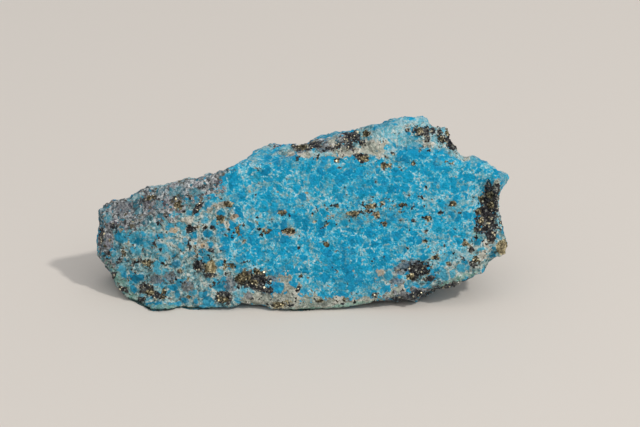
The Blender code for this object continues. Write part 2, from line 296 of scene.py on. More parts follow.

# %% [markdown]
# ## Where each mineral lies
#
# A specimen is told apart by its patches: the grey weathered shoulder, the dark ore pocket, the
# white calcite under the blue. Each patch is a listed ellipse. Its strength fades from 1 in
# the middle to 0 outside, and is a half on the rim. The material later adds noise and cuts at a
# half, so the rims turn ragged and follow the grains.
#
# The front's patches are laid on it as a slide. A patch has its place along and up the face, half
# its width and half its height, all in mm, and where it is tilted its turn in degrees.
#
# Each kind has its own job. `skin` is the grey weathered crust, and `matrix` is pale dirty rock.
# `sugar` makes what it lies on finer and paler, and `solid blue` keeps large blue grains whole.
# `teal`, `frost`, `green` and `tan` are thin stains. `calcite` is white, `grey` is a soft sulphide,
# `dark` is black ore, `pyrite` is brassy ore, `nugget` is a larger brassy lump, and `specks` are
# where loose ore lies.

# %% Grey skin, pale matrix and sugary zones on the front
FRONT = {}
FRONT["skin"] = [
    (-22.5, 12.9, 3.9, 2.7, 20), (-18, 14.6, 4, 2.5, 20), (-13.6, 16.6, 3.2, 1.5, 25),
    (-10.9, 18, 2, 0.9, 30), (-12.4, 16.6, 2.4, 1.7, 28), (-15.5, 17.4, 7.6, 1.3, 12),
    (-25.3, 10.1, 1.1, 3.6, -5), (-25.6, 12.8, 1.3, 1.8), (-24.6, 6.3, 0.8, 1.8, -60),
    (13.6, 2, 3.2, 1, 12), (17.5, 3.2, 2.4, 0.5, 25), (0, 21.6, 1.4, 0.7),
    (-3.8, 21.7, 0.9, 0.35, 10), (1.9, 22, 1.3, 0.8, 8), (5.2, 22.3, 1.2, 0.8, 20),
]
FRONT["matrix"] = [
    (-21, 7, 6, 9), (-14.5, 7, 4.5, 8.5), (-10.4, 12.4, 1.8, 1.6), (-9, 3, 3.5, 3),
    (19.5, 5, 4.5, 1.6, 25), (22.5, 8.5, 1.6, 2.2), (14.5, 22.8, 4.4, 1.8),
    (7.6, 22.2, 2.6, 2, 10), (3.6, 21.4, 3, 1, 5), (25.2, 8.6, 1.3, 5), (23.6, 6.4, 1.6, 1.4),
    (19, 21.2, 3, 1, -25), (-2.2, 20.9, 1.6, 0.6, 10), (24.9, 12.2, 0.9, 2.2),
    (10.5, 4.6, 1.6, 1, 10), (15.6, 4.2, 1.8, 0.9, 10),
]
FRONT["sugar"] = [
    (18.3, 13.7, 2.4, 2), (20.8, 13.4, 1.8, 2), (16.2, 7.6, 2, 1.2), (20.6, 6.9, 2.4, 1.8),
    (-4.5, 11.6, 2.6, 1.3), (-10.6, 13.9, 2.2, 2), (4.6, 13.4, 2.2, 1.2), (-11.8, 12, 2, 2.6),
    (-13.2, 8.2, 1.4, 2), (-11.3, 2.2, 1.2, 0.8), (-18.2, 9.8, 2.8, 2.6), (18.9, 13.9, 1.6, 1.4),
    (0.4, 4.4, 1.4, 1.2), (-4.4, 9.2, 1.3, 1), (4.6, 7.2, 1.4, 1), (22.9, 18.5, 1, 1),
    (-6.6, 18.6, 1.6, 1.2), (-15.6, 16.4, 3.6, 1.2, 20), (-15.9, 13.4, 1.4, 1),
]
print("patches:", {kind: len(FRONT[kind]) for kind in ("skin", "matrix", "sugar")})

# %% Stains on the front
FRONT["teal"] = [
    (3, 23.5, 2.6, 0.8, 12), (7.2, 24.3, 2.2, 0.6, 12), (13.1, 22.4, 0.9, 0.7),
    (25.3, 17.8, 0.7, 0.7), (-18.4, 7.9, 2.2, 0.9, -12), (-19.3, 9.7, 0.7, 0.6),
    (-25, 12.3, 0.6, 0.6), (-20.9, 13.2, 0.7, 0.4, 30), (-16.3, 15.6, 1, 0.6, 20),
    (-13.6, 15.6, 0.9, 0.5), (-23.9, 6.9, 0.7, 1.2, 30), (-18.6, 11.3, 0.8, 0.5),
    (-18.3, 14.1, 0.65, 0.6), (13.8, 22, 1.2, 0.7), (16.5, 22.6, 0.8, 0.4),
    (10.6, 24.2, 1.8, 0.6, 15),
]
FRONT["frost"] = [
    (15, 24.8, 1.4, 0.7), (12.7, 24.7, 1.3, 0.7), (25, 12.3, 0.5, 1.4), (24, 9.2, 0.6, 0.6),
    (11.6, 23.4, 1.4, 1.2), (17.2, 23, 1.5, 1.3), (11, 20.8, 0.9, 0.7), (9.4, 23, 1.3, 0.8),
    (23.9, 19.2, 0.9, 0.4, -20), (2.6, 20.7, 1.6, 0.5), (-17.6, 16.9, 1.8, 0.5, 20),
    (-13.6, 18.1, 2.6, 0.5, 14), (-21.5, 14.9, 1.2, 0.35, 25), (-19.9, 1.6, 0.5, 0.3),
    (12.6, 22.2, 1, 0.8), (-4.6, 21.6, 0.9, 0.4, 10), (-2.2, 21.4, 0.8, 0.5),
    (-8.3, 2.5, 0.7, 0.9, 20), (-6.6, 2.9, 0.8, 0.45), (16.3, 23, 0.8, 0.5),
    (19.4, 20.6, 1.2, 0.5, -35), (23.9, 10.6, 0.6, 1), (16.6, 6.7, 1, 0.6, 10),
]
FRONT["green"] = [
    (19.6, 4.2, 2.6, 0.4, 22), (22.3, 10, 0.9, 0.3, -35), (-17.5, 0.3, 3.5, 0.6, -3),
    (-23.7, 4.2, 0.7, 2.4, 35), (-21.8, 1.9, 1.2, 0.5, -40), (2, 0.2, 4, 0.4),
    (6, 0.9, 3, 0.3, 8), (-12, 0.2, 3, 0.4),
]
FRONT["tan"] = [
    (-16.4, 10.7, 0.7, 0.35, 30), (9.4, 12.7, 0.5, 0.4), (9.9, 5.2, 0.6, 0.45),
    (-1.8, 10.4, 0.9, 0.4), (-12.7, 8.8, 0.4, 0.3), (-19.4, 2.4, 0.8, 0.4),
    (-8.7, 12.4, 0.6, 0.25),
]
FRONT["grey"] = [
    (-16.9, 4.6, 0.8, 0.6, 20), (-14.7, 3.2, 0.8, 0.7), (13.2, 5.9, 1.6, 0.9, 10),
    (14, 2.1, 2.2, 0.8, 12), (-9.2, 3.6, 0.8, 0.9), (2.6, 21.3, 1.2, 0.5),
    (-22.9, 13.6, 1.3, 0.8, 20), (-18.6, 4.2, 1.1, 0.6), (11.9, 4, 0.8, 0.5),
    (-3.9, 4.4, 0.6, 0.5), (-6.9, 2.2, 0.5, 0.5),
]
print("patches:", {kind: len(FRONT[kind]) for kind in ("teal", "frost", "green", "tan", "grey")})

# %% White calcite on the front
FRONT["calcite"] = [
    (-5.4, 1.8, 2.4, 1.2, -12), (-1.9, 1.6, 2.4, 2), (-0.9, 0.8, 3.4, 2), (3.5, 0.6, 3.8, 1.4, 5),
    (7.3, 1, 3.2, 0.8, 12), (11.6, 2.3, 1.5, 0.7, 12), (-6.9, 1.6, 1, 0.6), (-2.4, 4.2, 1, 1, 20),
    (-2, 3, 0.8, 1.2, 10), (8.5, 21.5, 1.4, 1), (8.9, 23.1, 0.7, 0.4), (9.2, 21.9, 1.4, 0.9),
    (4.2, 22, 1.2, 1), (-0.1, 21.5, 1.1, 0.5), (3.1, 20.7, 1.5, 0.5), (5.4, 20.9, 1.8, 0.9),
    (0.4, 20.6, 1.3, 0.6), (9.8, 20.8, 1.2, 0.7), (19.3, 20.6, 0.5, 0.6), (20.4, 20.1, 0.6, 0.4),
    (23.4, 8.9, 0.6, 0.6), (22.8, 7.4, 0.6, 0.7), (12.3, 2.9, 0.9, 0.6), (-10, 14, 1.4, 0.4, 10),
    (-11.9, 13.2, 0.6, 0.4, 20), (-12.6, 9, 1, 0.7), (-14.6, 12, 0.8, 0.5),
    (-9.6, 11.5, 0.35, 0.6, 20), (-1.5, 20.6, 0.7, 0.4), (15.7, 22, 1, 0.6), (12.6, 24, 0.8, 0.5),
    (9.8, 5.1, 0.5, 0.4), (24.5, 16.6, 0.5, 0.7),
]
print("patches of calcite:", len(FRONT["calcite"]))

# %% Dark ore on the front
FRONT["dark"] = [
    (-6.2, 4, 2.2, 1.2, 5), (-4.9, 2.9, 1.3, 0.6, -10), (-13.2, 6, 0.8, 0.9),
    (-11.8, 4.8, 0.7, 0.35), (-10.1, 1.8, 1.1, 0.8), (-20.1, 2.9, 0.95, 0.75),
    (-18.7, 2.2, 0.9, 0.5, -10), (-20.6, 1.6, 0.5, 0.25), (-14.4, 10.8, 0.6, 0.5),
    (-13.3, 13.6, 1.1, 0.4, 55), (-24.3, 11.2, 0.35, 0.4), (6.4, 22.8, 1.05, 0.85, 8),
    (7.5, 22, 0.4, 0.4), (1.8, 21.8, 0.8, 0.5), (0.3, 21.5, 1.2, 0.45, 5), (3.1, 21.3, 0.3, 0.2),
    (4.4, 21.5, 0.4, 0.3), (6, 21.5, 0.6, 0.5), (7.4, 20.1, 1.3, 0.5, -14),
    (-1.2, 21.7, 0.3, 0.2), (-0.7, 20.05, 0.35, 0.3), (4.2, 19.7, 0.4, 0.3),
    (10.3, 19.1, 0.5, 0.3), (14.7, 23.5, 0.7, 0.6), (15.7, 23.1, 0.4, 1),
    (17.2, 24.4, 0.9, 0.22, 5), (17.4, 23.5, 0.4, 0.35), (16.5, 23.6, 0.25, 0.6),
    (17.5, 22.5, 0.65, 0.45), (18.7, 22.6, 0.4, 0.5), (19, 21.8, 0.95, 0.6, -25),
    (13.2, 23.6, 0.25, 0.25), (23.8, 14.2, 1.2, 2.5, -8), (23.5, 12.4, 1.45, 2.2, 4),
    (23.6, 16.6, 0.35, 0.6, 20), (23.8, 10.2, 0.5, 0.6, -20), (22.4, 10.7, 0.9, 0.5, -20),
    (14.6, 5.6, 1.6, 0.9, 10), (14.2, 4.6, 0.7, 0.6), (14.6, 2.3, 0.9, 0.4, 15),
    (16.2, 4.4, 0.6, 0.35, 20), (12.4, 1.6, 0.7, 0.3), (9.6, 1.2, 0.6, 0.3), (9.2, 2.2, 0.4, 0.3),
    (18.4, 3.2, 3, 0.3, 20), (-23, 2.9, 0.6, 0.4, -40), (-24.3, 4.7, 0.35, 0.5, -40),
    (-24.9, 7.4, 0.3, 0.5), (-23.4, 6.6, 0.3, 0.3), (-25.9, 10, 0.25, 1.1), (24, 9.7, 0.6, 0.7),
    (17.4, 12.9, 0.3, 0.3), (11.3, 20.6, 0.25, 0.25), (21.4, 8, 0.4, 0.3), (21.6, 6.4, 0.4, 0.4),
    (-0.6, 3, 0.3, 0.3), (-11.6, 8.1, 0.35, 0.3), (-11.5, 11, 0.3, 0.3),
]
print("patches of dark:", len(FRONT["dark"]))

# %% Brassy pyrite, loose specks and nuggets on the front
FRONT["specks"] = [
    (-19, 6.5, 6.5, 5.5, -10), (-24, 6.2, 1.6, 4, 20), (-12.5, 10, 3, 4.5), (-7, 11, 5, 1.5, 10),
    (9, 13.2, 10, 1.6, 3), (17.5, 6, 4.5, 3, 30), (22, 8.5, 2, 3), (-8, 4.5, 4.5, 2.2),
    (4.5, 21.2, 6, 1.3, 5), (17, 22, 3, 2), (0, 1.2, 8, 1.2),
]
FRONT["pyrite"] = [
    (-11.8, 5.9, 0.8, 0.8), (-7.6, 4.5, 1, 0.8), (-5.6, 5.3, 0.9, 0.4), (-6.2, 3.9, 0.5, 0.35),
    (-10.4, 12.2, 0.6, 0.6), (-8.2, 10.8, 0.45, 0.7), (-4.5, 10.6, 0.7, 0.4),
    (-1.8, 10.6, 1, 0.35), (-2.7, 13, 0.6, 0.3), (2.7, 11.2, 0.8, 0.3, 45), (3, 8.8, 0.35, 0.35),
    (-0.2, 4.7, 0.5, 0.3, 30), (-3, 0.9, 0.9, 0.5), (-10.2, 1.6, 0.8, 0.4),
    (8.5, 13.8, 0.7, 0.35), (10.1, 14.2, 0.4, 0.35), (12.6, 14, 0.8, 0.25), (6.3, 12.8, 0.8, 0.4),
    (9.4, 12.7, 0.5, 0.5), (10.2, 11.5, 0.5, 0.4), (15.9, 12.3, 0.4, 0.4), (19, 14.1, 0.5, 0.4),
    (10.5, 19, 0.7, 0.45), (4.4, 19.7, 0.5, 0.35), (14, 19.4, 0.3, 0.3), (20.7, 8.9, 0.4, 0.35),
    (15.5, 9.3, 0.4, 0.3), (16.9, 7.1, 0.5, 0.35), (22, 6.9, 0.4, 0.4), (-15.8, 13.9, 0.5, 0.6),
    (-19.2, 15, 0.8, 0.3, 20), (-16.1, 14.9, 0.3, 0.3), (-19.8, 6.3, 0.7, 0.5),
    (-19.6, 2.5, 0.7, 0.45), (-17.8, 2.3, 0.4, 0.8), (-14.5, 2, 0.4, 0.3), (-9.4, 14, 0.8, 0.5),
    (2.2, 1.4, 0.5, 0.3), (5.5, 1.6, 0.4, 0.3), (-8.9, 6, 0.7, 0.35), (7.8, 20, 0.8, 0.4),
    (-0.2, 21.5, 0.8, 0.35), (23.9, 14, 0.45, 0.5), (22.6, 12, 0.4, 0.4), (14.8, 23.6, 0.35, 0.5),
    (18.4, 23.5, 0.4, 0.5), (7.9, 23.2, 0.5, 0.5), (17.4, 22.5, 0.4, 0.3), (23.8, 15.2, 0.5, 0.5),
    (22.6, 14.8, 0.4, 0.4), (22.3, 13.2, 0.35, 0.5), (13.7, 4.6, 0.5, 0.5),
]
FRONT["nugget"] = [(25.6, 8.4, 1.1, 1.05, -20), (-11.6, 5.9, 0.6, 0.85, 15)]
print("patches:", {kind: len(FRONT[kind]) for kind in ("specks", "pyrite", "nugget")})

# %% Large blue grains on the front
FRONT["solid blue"] = [
    (-23.3, 9.8, 0.9, 0.85), (-20.8, 9.5, 1.3, 0.9, -10), (-17.1, 11, 0.45, 0.4),
    (-12.7, 7.8, 0.55, 0.55), (-16.5, 7.4, 0.4, 0.35), (-12, 10.2, 0.7, 0.6), (-9.6, 9.7, 1, 0.6),
    (-21.6, 4.3, 0.8, 0.7, -35), (-16.4, 3.1, 0.6, 0.5), (-19, 0.7, 1.5, 0.6),
    (-10.3, 3.4, 1.1, 0.8), (-12.1, 1.3, 0.8, 0.7), (-3.2, 3.2, 0.9, 0.8),
    (10.1, 24.1, 0.9, 0.5, 10), (11.7, 24.9, 0.6, 0.4), (13, 23, 0.7, 0.6), (14, 21.2, 1.1, 0.9),
    (16.6, 4.6, 0.9, 0.45, 15), (22.2, 9.7, 0.8, 0.6), (5.8, 5.6, 5, 2.6), (-3, 8.6, 3, 1.8),
    (-6.9, 7.9, 2.6, 2.2), (-6.6, 18.2, 2.4, 1.8), (14.6, 16.2, 4, 2.4), (4.4, 16.4, 3.6, 1.5),
    (22.7, 18.3, 1.8, 1.3),
]
print("patches of solid blue:", len(FRONT["solid blue"]))

# %% [markdown]
# The back is laid out in the same way, by the distance along the chunk and the height.

# %% The back's patches
BACK = {
    "skin": [(-20, 8, 6.5, 6.5), (-9, 14.5, 6, 2.6, 15), (14, 3.5, 6, 2.4)],
    "matrix": [(-12, 9, 7, 7), (17, 12, 6, 6), (2, 2.5, 9, 2.6)],
    "calcite": [(4, 6, 3.6, 2, 20), (20.5, 14, 2, 2.8), (-3, 18, 2.4, 1.2)],
    "dark": [
        (0, 14.6, 2.2, 1.2, 20), (10, 10, 1.4, 1), (-14, 4, 2, 1.2), (18.5, 6.5, 1.6, 1),
        (13, 18, 1.2, 0.8),
    ],
    "frost": [(-6, 19, 2.6, 1, 15), (11, 7.5, 2, 1, -20), (22.5, 16, 1.6, 1.4)],
    "teal": [(-17, 9.5, 2.4, 1, 20), (5.5, 15.5, 1.8, 1), (-22.5, 5, 1.2, 1.4)],
    "grey": [(-9.5, 6, 1.2, 0.9), (15.5, 10, 1, 0.8, 20)],
    "tan": [(1.5, 12.6, 0.8, 0.5, 20), (-13.5, 12.5, 1.2, 0.6), (8, 4, 0.8, 0.5)],
    "specks": [(-13, 6, 8, 6), (8, 12, 8, 4, 20)],
    "pyrite": [
        (1, 15, 1.1, 0.7, 20), (10.5, 10.2, 0.8, 0.6), (-13, 4.4, 1, 0.7), (-4, 9, 0.7, 0.5),
        (6, 17.5, 0.8, 0.5), (22, 9, 0.8, 0.8),
    ],
    "solid blue": [(-2, 11, 3, 1.6), (14, 14.5, 2.6, 1.6)],
}
print("patches on the back:", sum(len(patches) for patches in BACK.values()))

# %% [markdown]
# The strength of a patch is worked out for many points at once. The distance from the middle is
# measured in half widths, so it is 1 on the rim of every ellipse, however long or tilted it is.

# %% How strong a patch is
RIM_STRENGTH = 0.5


def patch_strength(along, up, patches):
    """1 well inside a patch, a half on its rim, 0 well outside all of them."""
    strength = np.zeros(len(along))
    for along_0, up_0, half_width, half_height, *tilt in patches:
        turn = math.radians(tilt[0]) if tilt else 0.0
        right, above = along - along_0, up - up_0
        wide = (right * math.cos(turn) + above * math.sin(turn)) / half_width
        tall = (above * math.cos(turn) - right * math.sin(turn)) / half_height
        strength = np.maximum(strength, 1 + RIM_STRENGTH - np.hypot(wide, tall))
    return np.clip(strength, 0, 1)


sample = np.array([0.0, 2.0, 4.0])
print("0, 2 and 4 mm off a 2 mm patch:", patch_strength(sample, sample * 0, [(0, 0, 2, 1)]))

# %% [markdown]
# ## A fine skin for the rock
#
# The solid has large flat triangles. A voxel remesh lays an even net of small quads on the same
# form, fine enough to carry the relief of single grains. The solid's own mesh isn't touched: the
# work is done on a copy, and its loose triangles are joined first, so that it is one closed skin.

# %% A fine skin for the rock
SKIN_NET = 0.16
SAME_POINT = 0.001 * MM


def add_piece(name, mesh):
    piece = bpy.data.objects.new(name, mesh)
    bpy.context.scene.collection.objects.link(piece)
    return piece


def add_shape(name, shape):
    """Turns a shape under work into a piece."""
    mesh = bpy.data.meshes.new(name)
    shape.to_mesh(mesh)
    shape.free()
    return add_piece(name, mesh)


def settle(piece):
    """Turns the piece and its modifiers into one plain mesh."""
    graph = bpy.context.evaluated_depsgraph_get()
    mesh = bpy.data.meshes.new_from_object(piece.evaluated_get(graph))
    piece.modifiers.clear()
    piece.data = mesh


shape = bmesh.new()
shape.from_mesh(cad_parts[NODE].data)
bmesh.ops.remove_doubles(shape, verts=shape.verts[:], dist=SAME_POINT)
rock = add_shape("lapis_rock", shape)
net = rock.modifiers.new("fine net", "REMESH")
net.mode = "VOXEL"
net.voxel_size = SKIN_NET * MM
settle(rock)
print("skin:", len(rock.data.vertices), "points")

# %% [markdown]
# Many steps need all the points of a mesh at once. NumPy arrays do that quickly: the points come
# out in millimetres, are moved together, and go back. Nothing may go below the ground.

# %% Points in and out of a mesh


def read_points(mesh):
    """The mesh's points in mm and its normals, as two arrays."""
    places = np.empty(len(mesh.vertices) * 3, np.float32)
    normals = np.empty(len(mesh.vertices) * 3, np.float32)
    mesh.vertices.foreach_get("co", places)
    mesh.vertex_normals.foreach_get("vector", normals)
    return places.reshape(-1, 3).astype(float) / MM, normals.reshape(-1, 3).astype(float)


def write_points(mesh, places):
    mesh.vertices.foreach_set("co", (places * MM).astype(np.float32).ravel())
    mesh.update()


def keep_above_ground(mesh):
    places, _ = read_points(mesh)
    places[:, 2] = np.maximum(places[:, 2], 0)
    write_points(mesh, places)


print("height of the skin, mm:", round(float(read_points(rock.data)[0][:, 2].max()), 1))

# %% [markdown]
# Each kind of patch becomes an attribute: a number stored on every point of the skin, which
# materials and Geometry Nodes can read. The front's patches fade out where the surface turns away
# from the viewer, and `hidden` fades in, which lets noise place more minerals on the other sides.

# %% Store the patches on the skin
TURN_BLUR = 0.3


def store(mesh, name, values):
    attribute = mesh.attributes.get(name) or mesh.attributes.new(name, "FLOAT", "POINT")
    attribute.data.foreach_set("value", values.astype(np.float32))


def on_slide(places):
    """Where each place lies on the face, along and up, when it is looked at from the front."""
    from_foot = places - np.array(FACE_FOOT) / MM
    behind = from_foot @ np.array(FACE_OUT) / SIGHT.dot(FACE_OUT)
    flat = from_foot - behind[:, None] * np.array(SIGHT)
    return flat[:, 0], flat @ np.array(FACE_UP)


def turned_to(normals, direction):
    """1 where the surface faces against a direction, 0 where it faces along it."""
    return np.clip(0.5 - (normals @ np.array(direction)) / TURN_BLUR, 0, 1)


def store_patches(mesh):
    places, normals = read_points(mesh)
    along, up = on_slide(places)
    seen = turned_to(normals, SIGHT)
    from_behind = turned_to(normals, (0, -1, 0)) * (1 - seen)
    for kind, patches in FRONT.items():
        front = patch_strength(along, up, patches) * seen
        back = patch_strength(places[:, 0], places[:, 2], BACK.get(kind, [])) * from_behind
        store(mesh, kind, np.maximum(front, back))
    store(mesh, "hidden", 1 - seen)


store_patches(rock.data)
print("attributes:", len(FRONT) + 1)

# %% [markdown]
# ## Small corrections of the form
#
# The solid gives the outline to about half a millimetre, a little more in a few places. What is
# left is corrected on the skin. The upper and the lower rim, as the viewer sees them, move up or
# down, and the two ends move outwards or inwards. Each row below holds a place on the rim and how
# far it moves there, both in mm. Between rows the amount changes evenly, and it fades out within
# a few millimetres of the rim.

# %% How far each rim moves
UPPER_RIM = [                      # along, up
    (-26.5, 0.0), (-24.5, 0.1), (-21.3, 0.4), (-19.5, 0.0), (-17.8, -0.4), (-14.5, 0.4),
    (-13.0, -0.1), (-8.0, -0.2), (-5.0, 0.2), (-1.0, 0.0), (0.8, -0.5), (3.0, -0.5), (4.5, -0.2),
    (6.0, 0.0), (7.5, 0.2), (12.4, 0.1), (13.6, -0.3), (14.5, 0.0), (15.7, 0.95), (16.4, 0.4),
    (17.5, 0.0), (18.7, 0.1), (19.6, -0.8), (21.0, -0.1), (23.5, 0.4), (25.0, -0.3), (26.5, 0.0),
]
LOWER_RIM = [                      # along, down
    (-26.5, 0.3), (-24.0, 0.75), (-20.5, 0.85), (-18.8, 0.6), (-17.5, 0.35), (-15.3, 0.85),
    (-12.0, 0.5), (-10.4, -0.1), (-8.0, -0.6), (-6.2, 0.0), (-4.0, 0.9), (-1.5, 0.6), (0.5, 0.3),
    (3.0, -0.1), (6.5, 0.25), (10.5, 0.6), (13.0, 0.4), (16.0, 0.5), (18.2, 1.25), (20.5, 1.0),
    (22.5, 0.6), (26.5, 0.5),
]
LEFT_RIM = [                       # up, outwards
    (1.0, 0.2), (3.4, 0.1), (5.0, 0.5), (7.0, 0.6), (9.5, 0.4), (12.0, 0.15), (14.3, 0.5),
    (16.0, 0.0),
]
RIGHT_RIM = [                      # up, outwards
    (1.9, 0.0), (3.4, -0.5), (5.8, -0.3), (7.3, -0.2), (8.3, 0.45), (9.2, 0.4), (10.3, 0.0),
    (11.5, -0.35), (13.0, 0.0), (14.8, 0.0), (16.3, 0.25), (17.5, 0.3), (19.0, -0.4), (20.0, 0.0),
]
ALL_RIMS = UPPER_RIM + LOWER_RIM + LEFT_RIM + RIGHT_RIM
print("largest move, mm:", max(abs(move) for _, move in ALL_RIMS))

# %% [markdown]
# To find a rim, the outline is cut into narrow steps, and each step keeps its farthest point. How
# close any other point lies to that rim then says how much of the correction it takes.

# %% How close each point is to a rim
RIM_REACH = 3.0
RIM_STEP = 0.5
FAR_OUT = 99.0                     # stands in for the farthest point of an empty step
BELOW_ALL = -1.0                   # the same for the upper rim


def smooth(value):
    """0 below 0, 1 above 1, and smooth between."""
    value = np.clip(value, 0, 1)
    return value * value * (3 - 2 * value)


def near_rim(across, reached, outwards, empty):
    """1 on the outline, and 0 at the reach. Outwards is 1 or -1, the side where the rim lies."""
    pick = np.maximum if outwards > 0 else np.minimum
    steps = np.arange(across.min(), across.max() + 2 * RIM_STEP, RIM_STEP)
    farthest = np.full(len(steps), empty)
    pick.at(farthest, np.rint((across - steps[0]) / RIM_STEP).astype(int), reached)
    inside = outwards * (np.interp(across, steps, farthest) - reached)
    return smooth(1 - inside / RIM_REACH)


def amount(place, rim):
    return np.interp(place, *zip(*rim))


print("smooth at 0, 0.25, 0.5 and 1:", smooth(np.array([0, 0.25, 0.5, 1])))

# %% [markdown]
# The rims are moved in the plane of the face, so that the viewer sees just that move. A point that
# would sink into the ground slides forward along the line of sight until it lies on it. Last, the
# front is drawn in a little just above the ground, which gives the dark line where a stone with a
# rounded underside meets what it lies on.

# %% Move the rims
FOOT_HEIGHT = 0.5
FOOT_DEPTH = 0.8

places, _ = read_points(rock.data)
along, up = on_slide(places)
raised = near_rim(along, up, 1, BELOW_ALL) * amount(along, UPPER_RIM)
lowered = near_rim(along, up, -1, FAR_OUT) * amount(along, LOWER_RIM)
places += (raised - lowered)[:, None] * np.array(FACE_UP)
places[:, 0] -= near_rim(up, along, -1, FAR_OUT) * amount(up, LEFT_RIM)
places[:, 0] += near_rim(up, along, 1, -FAR_OUT) * amount(up, RIGHT_RIM)

sunk = np.maximum(-places[:, 2], 0)
places -= (sunk / math.sin(SIGHT_FALL))[:, None] * np.array(SIGHT)
low = places[:, 2] < FOOT_HEIGHT
across, depth, height = places[low].T
drawn_in = near_rim(across, depth, -1, FAR_OUT) * smooth(1 - height / FOOT_HEIGHT)
places[low, 1] += FOOT_DEPTH * drawn_in
write_points(rock.data, places)
print("points kept out of the ground:", int((sunk > 0).sum()))

# %% [markdown]
# ## Relief
#
# A broken face is never smooth: the rock breaks in low lumps, grains stand a little proud of the
# veins between them, ore crumbles into pits, and the weathered skin is rough like sugar. Geometry
# Nodes move every point along its normal by the sum of these. The heights are named inputs, in
# mm, so that they can be tuned without opening the tree.

# %% A Geometry Nodes tree with named numbers


def attribute_in_geometry(wiring, name):
    added = wiring.node("GeometryNodeInputNamedAttribute", {"Name": name}, data_type="FLOAT")
    return added.outputs["Attribute"]


def place_in_geometry(wiring):
    return wiring.vector("SCALE", wiring.node("GeometryNodeInputPosition", {}).outputs[0], 1 / MM)


def new_tree(name, numbers):
    """An empty Geometry Nodes tree with named number inputs, and the wiring to fill it."""
    tree = bpy.data.node_groups.new(name, "GeometryNodeTree")
    tree.interface.new_socket("Geometry", in_out="INPUT", socket_type="NodeSocketGeometry")
    for number in numbers:
        tree.interface.new_socket(number, in_out="INPUT", socket_type="NodeSocketFloat")
    tree.interface.new_socket("Geometry", in_out="OUTPUT", socket_type="NodeSocketGeometry")
    return tree, Wiring(tree)


def add_nodes(piece, tree, values):
    """Puts a Geometry Nodes tree on a piece, and sets its named inputs."""
    modifier = piece.modifiers.new(tree.name, "NODES")
    modifier.node_group = tree
    for socket in tree.interface.items_tree:
        if socket.item_type == "SOCKET" and socket.in_out == "INPUT" and socket.name in values:
            modifier[socket.identifier] = values[socket.name]


# %% The relief's tree
RELIEF = {
    "Lump height": 0.36,
    "Grain height": 0.12,
    "Facet height": 0.20,
    "Crumb height": 0.30,
    "Ore depth": 0.30,
}
RELIEF_KINDS = ("dark", "pyrite", "skin", "matrix", "hidden")
LUMP_SIZE = 1.8
PIT_SIZE = 0.9
SUGAR_SIZE = 0.6
ORE_RIM = (0.3, 0.7)
LOOSE_RIM = (0.2, 0.8)
LOOSE_HIDDEN = 0.8                 # how loose the unseen sides are
LOOSENESS = {"base": 0.5, "loose": 0.7, "ore": 0.7}
DOME_RIM = (0.0, 0.28)
DOME_SINK = -0.7                   # keeps the rock's size: veins sink, and grains hardly rise
CRUMB_DOME = 0.4
CRUMB_SINK = -0.06
SUGAR_HEIGHT = 0.9                 # as a share of the crumb height
PIT_FORCE = 2.0


def relief_height(wiring, place, given):
    """How far each point moves along its normal, in mm."""
    read = {kind: attribute_in_geometry(wiring, kind) for kind in RELIEF_KINDS}
    grain = grains(wiring, place, "grain")
    crumb = grains(wiring, place, "crumb")
    ore = wiring.step(wiring.most(read["dark"], read["pyrite"]), ORE_RIM)
    loose = wiring.most(read["skin"], read["matrix"], wiring.times(read["hidden"], LOOSE_HIDDEN))
    loose = wiring.mixed({"loose": wiring.step(loose, LOOSE_RIM), "ore": ore}, LOOSENESS)
    dome = wiring.add(wiring.step(grain["depth"], DOME_RIM), DOME_SINK)
    crumbly = wiring.add(crumb["facet"], (crumb["depth"], CRUMB_DOME), CRUMB_SINK)
    sugar = wiring.around_zero(wiring.noise(place, SUGAR_SIZE, detail=3))
    pits = wiring.around_zero(wiring.noise(place, PIT_SIZE))
    lumps = wiring.around_zero(wiring.noise(place, LUMP_SIZE))
    broken = wiring.add(
        (lumps, given["Lump height"]),
        (dome, given["Grain height"]),
        (grain["facet"], given["Facet height"]),
        (crumbly, given["Crumb height"]),
        (sugar, given["Crumb height"], SUGAR_HEIGHT),
    )
    return wiring.add((broken, loose), (ore, pits, given["Ore depth"], PIT_FORCE))


def relief_tree():
    tree, wiring = new_tree("grain relief", RELIEF)
    given = wiring.node("NodeGroupInput", {}).outputs
    height = wiring.times(relief_height(wiring, place_in_geometry(wiring), given), MM)
    normal = wiring.node("GeometryNodeInputNormal", {}).outputs[0]
    offset = wiring.vector("SCALE", normal, height)
    inputs = {"Geometry": given["Geometry"], "Offset": offset}
    moved = wiring.node("GeometryNodeSetPosition", inputs)
    wiring.node("NodeGroupOutput", {"Geometry": moved.outputs[0]})
    return tree


relief = relief_tree()
print("relief tree:", len(relief.nodes), "nodes")

# %% [markdown]
# The net is finer than the piece may stay, so it is thinned after the relief is in: Decimate drops
# points where the form is nearly flat and keeps them where it is not. The patches are stored
# again, because new points and new slopes need their own numbers.

# %% Raise the relief and thin the net
TRIANGLES = 196_000


def count_triangles(mesh):
    return sum(len(face.vertices) - 2 for face in mesh.polygons)


add_nodes(rock, relief, RELIEF)
settle(rock)
if count_triangles(rock.data) > TRIANGLES:
    thinner = rock.modifiers.new("thinner", "DECIMATE")
    thinner.ratio = TRIANGLES / count_triangles(rock.data)
    settle(rock)
keep_above_ground(rock.data)
store_patches(rock.data)
rock.data.shade_smooth()
print("rock:", count_triangles(rock.data), "triangles")

# %% [markdown]
# ## The rock's material
#
# One material paints the whole rock, layer over layer, as a geologist would read it: blue grains
# with pale veins, matrix with lone blue grains, calcite, weathered skin, stains, dark sulphide and
# brassy pyrite. A row of colours stands for each mineral, because broken grains show every shade
# between two. The number that picks a shade is mixed by a recipe: a base, and how much of each
# chance and noise goes on it.

# %% The minerals' colours


